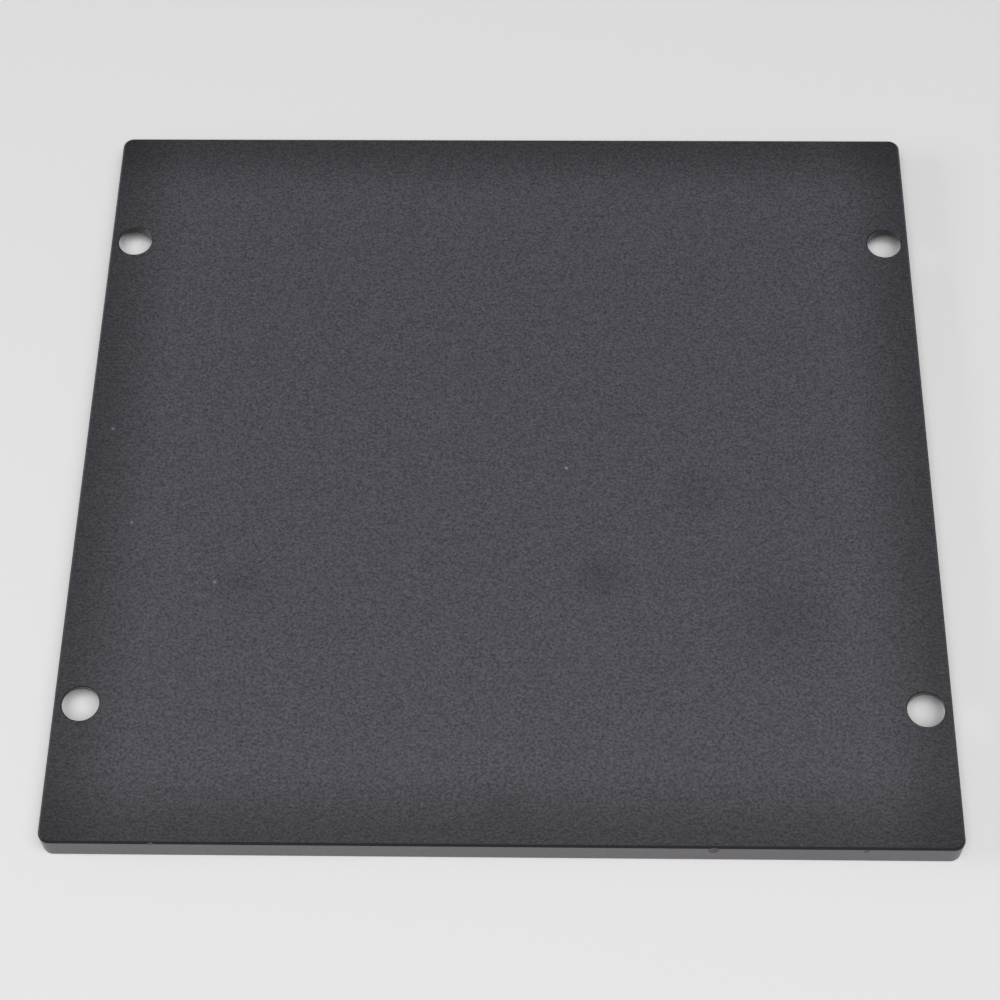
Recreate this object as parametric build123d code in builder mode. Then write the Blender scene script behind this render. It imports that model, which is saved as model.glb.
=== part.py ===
from build123d import *
from math import radians, tan
import os

os.makedirs("parts", exist_ok=True)

# Sizes are in millimetres and angles in degrees.
# The plate lies flat with its underside on the XY plane and its plain face up.
# X runs along its longer side, Y from its front edge to its back edge.

# Blank: one flat rectangle of sheet with small upright corner radii.
plate_width = 100.0
plate_depth = 97.0
plate_thickness = 3.4
corner_radius = 1.3

# Edge breaks: narrow 45 degree bevels all round, wider on the plain face.
top_edge_bevel = 0.24
bottom_edge_bevel = 0.12
hole_rim_bevel = 0.1

# Screw holes: clearance for M4, one near each corner, close to the side edges.
hole_diameter = 4.2
side_margin = 3.0
end_margin = 16.5

# Countersinks from the underside, cut by hand: the front pair is deeper than the back
# pair, and each sits nearer the side edge than its hole does, by its offset.
# A land is the height from the plain face down to where the countersink is
# as wide as the hole.
sink_angle = 90.0
front_land_height = 0.7
back_land_height = 1.05
front_sink_offset = 0.4
back_sink_offset = 0.7

# A bevel takes no more than this share of the web between hole and side edge.
bevel_share_of_web = 0.45

# Knocks high on the front edge. Each is a shallow round-bottomed dent.
# Place: along X, from the middle of the plate. Drop: down from the plain face.
# Ball: the radius of its round bottom. Bite: how deep it goes into the edge.
large_dent_place = 23.0
large_dent_drop = 0.74
large_dent_ball = 0.8
large_dent_bite = 0.32
small_dent_place = 39.4
small_dent_drop = 0.6
small_dent_ball = 0.5
small_dent_bite = 0.15
nick_place = -37.7
nick_drop = 0.12
nick_ball = 0.4
nick_bite = 0.22

hole_radius = hole_diameter / 2
hole_x = plate_width / 2 - side_margin
hole_y = plate_depth / 2 - end_margin
web = side_margin - hole_radius
edge_bevel = min(top_edge_bevel, bevel_share_of_web * web)
rim_bevel = min(hole_rim_bevel, bevel_share_of_web * web)
front_sink_x = hole_x + front_sink_offset
back_sink_x = hole_x + back_sink_offset
sink_slope = tan(radians(sink_angle / 2))
front_sink_radius = hole_radius + (plate_thickness - front_land_height) * sink_slope
back_sink_radius = hole_radius + (plate_thickness - back_land_height) * sink_slope

plain_face = Plane.XY.offset(plate_thickness)


def dent_centre(place, drop, ball, bite):
    # The ball sits in front of the front edge and bites into it.
    return (place, -plate_depth / 2 - (ball - bite), plate_thickness - drop)


with BuildPart() as cover_plate:
    # The blank.
    with BuildSketch(Plane.XY):
        RectangleRounded(plate_width, plate_depth, corner_radius)
    extrude(amount=plate_thickness)

    # Outer edges, top and bottom.
    top_edges = cover_plate.faces().sort_by(Axis.Z)[-1].edges()
    chamfer(top_edges, length=edge_bevel)
    bottom_edges = cover_plate.faces().sort_by(Axis.Z)[0].edges()
    chamfer(bottom_edges, length=bottom_edge_bevel)

    # Clearance holes, drilled from the plain face, with their rims broken.
    with Locations(plain_face):
        with GridLocations(2 * hole_x, 2 * hole_y, 2, 2):
            Hole(radius=hole_radius)
    hole_rims = cover_plate.faces().sort_by(Axis.Z)[-1].inner_wires().edges()
    chamfer(hole_rims, length=rim_bevel)

    # Countersinks, wide enough to run out through the side edges.
    # Each is a whole cone, whose point is in the open hole above the plain face.
    with Locations((-front_sink_x, -hole_y), (front_sink_x, -hole_y)):
        Cone(
            bottom_radius=front_sink_radius,
            top_radius=0,
            height=front_sink_radius / sink_slope,
            align=(Align.CENTER, Align.CENTER, Align.MIN),
            mode=Mode.SUBTRACT,
        )
    with Locations((-back_sink_x, hole_y), (back_sink_x, hole_y)):
        Cone(
            bottom_radius=back_sink_radius,
            top_radius=0,
            height=back_sink_radius / sink_slope,
            align=(Align.CENTER, Align.CENTER, Align.MIN),
            mode=Mode.SUBTRACT,
        )

    # The knocks.
    with Locations(dent_centre(large_dent_place, large_dent_drop, large_dent_ball, large_dent_bite)):
        Sphere(radius=large_dent_ball, mode=Mode.SUBTRACT)
    with Locations(dent_centre(small_dent_place, small_dent_drop, small_dent_ball, small_dent_bite)):
        Sphere(radius=small_dent_ball, mode=Mode.SUBTRACT)
    with Locations(dent_centre(nick_place, nick_drop, nick_ball, nick_bite)):
        Sphere(radius=nick_ball, mode=Mode.SUBTRACT)

cover_plate.part.label = "cover_plate"
export_step(cover_plate.part, "parts/cover_plate.step")
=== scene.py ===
import bpy
import math
from mathutils import Matrix, Vector


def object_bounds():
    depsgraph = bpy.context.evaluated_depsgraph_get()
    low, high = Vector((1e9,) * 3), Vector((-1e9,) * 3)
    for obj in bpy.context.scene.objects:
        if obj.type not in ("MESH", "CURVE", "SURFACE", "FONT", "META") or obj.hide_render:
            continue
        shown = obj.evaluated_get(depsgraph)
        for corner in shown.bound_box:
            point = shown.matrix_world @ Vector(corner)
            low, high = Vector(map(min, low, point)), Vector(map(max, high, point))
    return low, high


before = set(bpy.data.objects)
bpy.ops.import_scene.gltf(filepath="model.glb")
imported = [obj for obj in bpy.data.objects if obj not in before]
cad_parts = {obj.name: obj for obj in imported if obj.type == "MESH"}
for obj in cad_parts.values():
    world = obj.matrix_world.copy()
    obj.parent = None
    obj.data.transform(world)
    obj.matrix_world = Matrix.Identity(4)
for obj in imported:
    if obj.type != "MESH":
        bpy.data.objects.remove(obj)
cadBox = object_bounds()
print("frame loaded:", sorted(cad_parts))


# sRGB hex to linear: c / 12.92 below 0.04045, else ((c + 0.055) / 1.055) to the power 2.4
def hexColour(text):
    parts = [int(text[i:i + 2], 16) / 255 for i in (1, 3, 5)]
    return tuple(c / 12.92 if c <= 0.04045 else ((c + 0.055) / 1.055) ** 2.4 for c in parts) + (1.0,)


# adds one node: attributes by name, inputs by socket name or number, links as (node, output) pairs
def addNode(tree, kind, attributes=None, inputs=None, links=None):
    node = tree.nodes.new(kind)
    for name, value in (attributes or {}).items():
        setattr(node, name, value)
    for name, value in (inputs or {}).items():
        node.inputs[name].default_value = value
    for name, (source, output) in (links or {}).items():
        tree.links.new(source.outputs[output], node.inputs[name])
    return node


# a new material with an empty node tree
def newMaterial(name):
    material = bpy.data.materials.new(name)
    material.use_nodes = True
    material.node_tree.nodes.clear()
    return material, material.node_tree


# noise scale for cells of a size in mm: 1000 / size, since Object coordinates are in metres
def scaleFor(millimetres):
    return 1000 / millimetres


# Black epoxy-polyester powder coating with a fine texture, sprayed and baked on sheet metal.
# It shrinks into tiny close-set grains as it cures, so the eye sees a dull charcoal
# with a pepper-and-salt sparkle that has no direction, painted as highlight on the grains' crowns and shade
# in their valleys.
# A soft band along the rims is painted shade, a little darker, and the coat runs thin and smooth over the
# edges; the paler sides are painted reflection of the bright floor.
coating = {
    "faceColour": "#434249",
    "rimColour": "#1e1e21",  # bevels, holes and sinks
    "sidePaintedReflectionColour": "#575156",  # the four outer sides, paler: painted reflection of the bright floor
    "grainCrownHighlight": 1.72,  # times the colour, on the crowns of the grains: painted highlight
    "grainValleyShade": 0.38,  # times the colour, in the valleys: painted shade
    "grain": 0.29,  # mm across one grain
    "clump": 1.5,  # mm across a cluster of grains
    "valley": 0.25,  # noise value at the bottom of a grain
    "crown": 0.75,  # and at its top
    "grainHeight": 0.080,  # mm, top to valley
    "clumpHeight": 0.040,  # mm
    "edgeGrain": 0.3,  # share of the grain's height and contrast that is left on the sides and in the holes
    "rimShadeBand": 10.0,  # mm, width of the painted shade band along the rims
    "rimShadeShare": 0.50,  # times the colour, right at the rim: painted shade
    "faceTilt": 0.9,  # how far up or down a broad face's normal points, at least
    "sideRise": (0.1, 3.1),  # mm above the underside, lowest and highest part of the paler sides with painted reflection
    "sideInset": (0.2, 0.7),  # mm in from the outline, across and along, that still counts as a side
    "faceRoughness": 0.60,
    "edgeRoughness": 0.36,
    "ior": 1.5,  # cured polyester resin
    # darker patches and small pale specks on the top: across and along (mm), radius (mm), times the colour
    "spots": [
        (11.1, -15.4, 4.6, 0.74),
        (22.6, -4.2, 5.0, 0.82),
        (31.5, -20.8, 9.0, 0.82),
        (-30.0, -16.6, 5.0, 0.85),
        (0.2, -44.0, 4.5, 0.86),
        (-47.0, 4.1, 0.36, 4.0),
        (7.2, -1.0, 0.34, 3.4),
        (-33.2, -16.6, 0.32, 3.2),
        (-43.5, -8.8, 0.32, 3.0),
    ],
}


# 1 on the outer sides and 0 elsewhere: the height is within sideRise, and the distance
# from the middle is over half the width or half the depth, less sideInset
def maskSides(tree, place, spread, farCorner, settings):
    lowest, highest = settings["sideRise"]
    height = addNode(tree, "ShaderNodeSeparateXYZ", links={"Vector": (place, "Object")})
    level = addNode(tree, "ShaderNodeMath", {"operation": "COMPARE"},
                    {1: (lowest + highest) / 2000, 2: (highest - lowest) / 2000}, {0: (height, "Z")})
    reach = addNode(tree, "ShaderNodeSeparateXYZ", links={"Vector": (spread, "Vector")})
    across, along = [
        addNode(tree, "ShaderNodeMath", {"operation": "GREATER_THAN"},
                {1: half - inset / 1000}, {0: (reach, axis)})
        for axis, half, inset in zip("XY", farCorner, settings["sideInset"])
    ]
    outer = addNode(tree, "ShaderNodeMath", {"operation": "MAXIMUM"}, links={0: (across, 0), 1: (along, 0)})
    return addNode(tree, "ShaderNodeMath", {"operation": "MULTIPLY"}, links={0: (level, 0), 1: (outer, 0)})


# times a share at the rim, rising smoothly to 1 over the band's width, from each pair of rims: painted shade
# along the rims
def paintRimShade(tree, shade, spread, farCorner, settings):
    inward = addNode(tree, "ShaderNodeVectorMath", {"operation": "SUBTRACT"},
                     {0: farCorner}, {1: (spread, "Vector")})
    rims = addNode(tree, "ShaderNodeSeparateXYZ", links={"Vector": (inward, "Vector")})
    for axis in "XY":
        rimShadeBand = addNode(tree, "ShaderNodeMapRange", {"interpolation_type": "SMOOTHSTEP"},
                       {"From Max": settings["rimShadeBand"] / 1000, "To Min": settings["rimShadeShare"], "To Max": 1.0},
                       {"Value": (rims, axis)})
        shade = addNode(tree, "ShaderNodeMath", {"operation": "MULTIPLY"},
                        links={0: (shade, 0), 1: (rimShadeBand, "Result")})
    return shade


# times the spot's own share at its middle, rising smoothly to 1 at its radius, spot after spot
def addSpots(tree, shade, place, farCorner, settings):
    for x, y, radius, share in settings["spots"]:
        away = addNode(tree, "ShaderNodeVectorMath", {"operation": "DISTANCE"},
                       {1: (x / 1000, y / 1000, farCorner[2])}, {0: (place, "Object")})
        fade = addNode(tree, "ShaderNodeMapRange", {"interpolation_type": "SMOOTHSTEP"},
                       {"From Max": radius / 1000, "To Min": share, "To Max": 1.0},
                       {"Value": (away, "Value")})
        shade = addNode(tree, "ShaderNodeMath", {"operation": "MULTIPLY"},
                        links={0: (shade, 0), 1: (fade, "Result")})
    return shade


# colour of the face, side or rim, times the grain's painted highlight and shade, the painted shade band
# along the rims and the spots, over bumps as high as the grain and the clumps
# Mix sockets by number: 0 factor, 2 and 3 the two numbers, 6 and 7 the two colours
def makeCoating(settings, farCorner):
    material, tree = newMaterial("blackTexturedCoating")
    place = addNode(tree, "ShaderNodeTexCoord")
    spread = addNode(tree, "ShaderNodeVectorMath", {"operation": "ABSOLUTE"}, links={0: (place, "Object")})
    grain = addNode(tree, "ShaderNodeTexNoise", {"noise_dimensions": "3D"},
                    {"Scale": scaleFor(settings["grain"]), "Detail": 2.0, "Roughness": 0.55},
                    {"Vector": (place, "Object")})
    clump = addNode(tree, "ShaderNodeTexNoise", {"noise_dimensions": "3D"},
                    {"Scale": scaleFor(settings["clump"]), "Detail": 2.0, "Roughness": 0.5},
                    {"Vector": (place, "Object")})

    # 1 on the two broad faces, 0 on the sides, the bevels and in the holes
    split = addNode(tree, "ShaderNodeSeparateXYZ", links={"Vector": (place, "Normal")})
    upright = addNode(tree, "ShaderNodeMath", {"operation": "ABSOLUTE"}, links={0: (split, "Z")})
    face = addNode(tree, "ShaderNodeMath", {"operation": "GREATER_THAN"},
                   {1: settings["faceTilt"]}, {0: (upright, 0)})
    side = maskSides(tree, place, spread, farCorner, settings)
    # the sides' paler colour is painted reflection of the bright floor
    edge = addNode(tree, "ShaderNodeMix", {"data_type": "RGBA"},
                   {6: hexColour(settings["rimColour"]), 7: hexColour(settings["sidePaintedReflectionColour"])},
                   {0: (side, 0)})
    base = addNode(tree, "ShaderNodeMix", {"data_type": "RGBA"},
                   {7: hexColour(settings["faceColour"])},
                   {0: (face, 0), 6: (edge, 2)})

    # the grain is nearly flat and even where the coat runs thin
    raised = addNode(tree, "ShaderNodeMapRange",
                     inputs={"To Min": settings["edgeGrain"]}, links={"Value": (face, 0)})
    # painted highlight on the grains' crowns and painted shade in their valleys, from the same noise as the
    # bumps
    grainHighlightShade = addNode(tree, "ShaderNodeMapRange",
                      inputs={"From Min": settings["valley"], "From Max": settings["crown"],
                              "To Min": settings["grainValleyShade"], "To Max": settings["grainCrownHighlight"]},
                      links={"Value": (grain, "Fac")})
    shade = addNode(tree, "ShaderNodeMix", {"data_type": "FLOAT"}, {2: 1.0},
                    {0: (raised, "Result"), 3: (grainHighlightShade, "Result")})
    # painted shade: darker toward the rims, on the broad faces only
    rimShaded = paintRimShade(tree, shade, spread, farCorner, settings)
    shade = addNode(tree, "ShaderNodeMix", {"data_type": "FLOAT"},
                    links={0: (face, 0), 2: (shade, 0), 3: (rimShaded, 0)})
    shade = addSpots(tree, shade, place, farCorner, settings)
    tone = addNode(tree, "ShaderNodeVectorMath", {"operation": "SCALE"},
                   links={0: (base, 2), "Scale": (shade, 0)})

    rough = addNode(tree, "ShaderNodeMapRange",
                    inputs={"To Min": settings["edgeRoughness"], "To Max": settings["faceRoughness"]},
                    links={"Value": (face, 0)})
    grainBump = addNode(tree, "ShaderNodeBump",
                        inputs={"Distance": settings["grainHeight"] / 1000},
                        links={"Height": (grain, "Fac"), "Strength": (raised, "Result")})
    clumpBump = addNode(tree, "ShaderNodeBump",
                        inputs={"Distance": settings["clumpHeight"] / 1000},
                        links={"Height": (clump, "Fac"), "Strength": (raised, "Result"),
                               "Normal": (grainBump, "Normal")})
    shader = addNode(tree, "ShaderNodeBsdfPrincipled",
                     inputs={"Metallic": 0.0, "IOR": settings["ior"]},
                     links={"Base Color": (tone, "Vector"), "Roughness": (rough, "Result"),
                            "Normal": (clumpBump, "Normal")})
    addNode(tree, "ShaderNodeOutputMaterial", links={"Surface": (shader, "BSDF")})
    return material


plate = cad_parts["cover_plate"]
# far corner of the box (m): half the width, half the depth and the height of the top face
coatingMaterial = makeCoating(coating, tuple(cadBox[1]))
for slot in plate.material_slots:
    slot.material = coatingMaterial
print("coating on", plate.name, "slots", len(plate.material_slots))

# Matte pale grey acrylic sheet, cast with a satin back: its fine matte skin spreads the light,
# so the eye sees an even tone and no mirror image.
floorLook = {
    "colour": "#e4e4e5",
    "halfWidth": 1.5,  # m, from the middle to each edge
    "roughness": 0.7,
    "specularLevel": 0.2,  # 0.5 is plain plastic
}


# one flat square of side twice halfWidth, level with the plate's underside
def makeFloor(settings):
    material, tree = newMaterial("matteAcrylicSheet")
    shader = addNode(tree, "ShaderNodeBsdfPrincipled",
                     inputs={"Base Color": hexColour(settings["colour"]), "Roughness": settings["roughness"],
                             "Specular IOR Level": settings["specularLevel"]})
    addNode(tree, "ShaderNodeOutputMaterial", links={"Surface": (shader, "BSDF")})
    half = settings["halfWidth"]
    mesh = bpy.data.meshes.new("floor")
    corners = [(-half, -half, 0), (half, -half, 0), (half, half, 0), (-half, half, 0)]
    mesh.from_pydata(corners, [], [(0, 1, 2, 3)])
    mesh.materials.append(material)
    floor = bpy.data.objects.new("floor", mesh)
    bpy.context.scene.collection.objects.link(floor)


makeFloor(floorLook)
print("floor laid")

lamps = {
    # name: middle (m), size (m), share of the floor's light where the plate lies
    "frontSoftbox": {"place": (-0.055, -0.394, 0.90), "size": (0.63, 0.63), "share": 0.56},
    "farRightSoftbox": {"place": (0.300, -0.280, 1.00), "size": (0.70, 0.70), "share": 0.31},
    "lowLeftSoftbox": {"place": (-0.800, -0.050, 0.34), "size": (0.50, 0.30), "share": 0.09},
}
surroundings = {"colour": "#ffffff", "strength": 0.13}


# a lamp of power P that faces the plate from distance d lights the floor with P * (z / d) / (pi * d * d),
# and a white floor renders white under pi, so P is share * pi * pi * d cubed / z
def addLamp(name, settings):
    lamp = bpy.data.lights.new(name, "AREA")
    lamp.shape = "RECTANGLE"
    lamp.size, lamp.size_y = settings["size"]
    place = Vector(settings["place"])
    lamp.energy = settings["share"] * math.pi ** 2 * place.length ** 3 / place.z
    holder = bpy.data.objects.new(name, lamp)
    holder.location = place
    holder.rotation_euler = place.to_track_quat("Z", "Y").to_euler()
    bpy.context.scene.collection.objects.link(holder)


for lampName, lampSettings in lamps.items():
    addLamp(lampName, lampSettings)

world = bpy.data.worlds.new("studio")
bpy.context.scene.world = world
world.use_nodes = True
background = world.node_tree.nodes["Background"]
background.inputs["Color"].default_value = hexColour(surroundings["colour"])
background.inputs["Strength"].default_value = surroundings["strength"]
print("lamps:", ", ".join(lamps))

view = {
    "place": (0.00400, -0.13686, 0.22905),  # m
    "down": 59.775,  # degrees below level
    "turn": -1.993,  # degrees clockwise, seen from above
    "roll": -1.403,  # degrees
    "sensor": 36.0,  # mm across
    "lens": 80.30,  # mm
    "nearest": 0.01,  # m, what is nearer isn't drawn
}
cameraData = bpy.data.cameras.new("camera")
cameraData.sensor_width = view["sensor"]
cameraData.lens = view["lens"]
cameraData.clip_start = view["nearest"]
camera = bpy.data.objects.new("camera", cameraData)
camera.matrix_world = (Matrix.Translation(view["place"])
                       @ Matrix.Rotation(-math.radians(view["turn"]), 4, "Z")
                       @ Matrix.Rotation(math.radians(90 - view["down"]), 4, "X")
                       @ Matrix.Rotation(math.radians(view["roll"]), 4, "Z"))
bpy.context.scene.collection.objects.link(camera)
bpy.context.scene.camera = camera
bpy.context.scene.view_settings.view_transform = "Standard"
print("camera set")
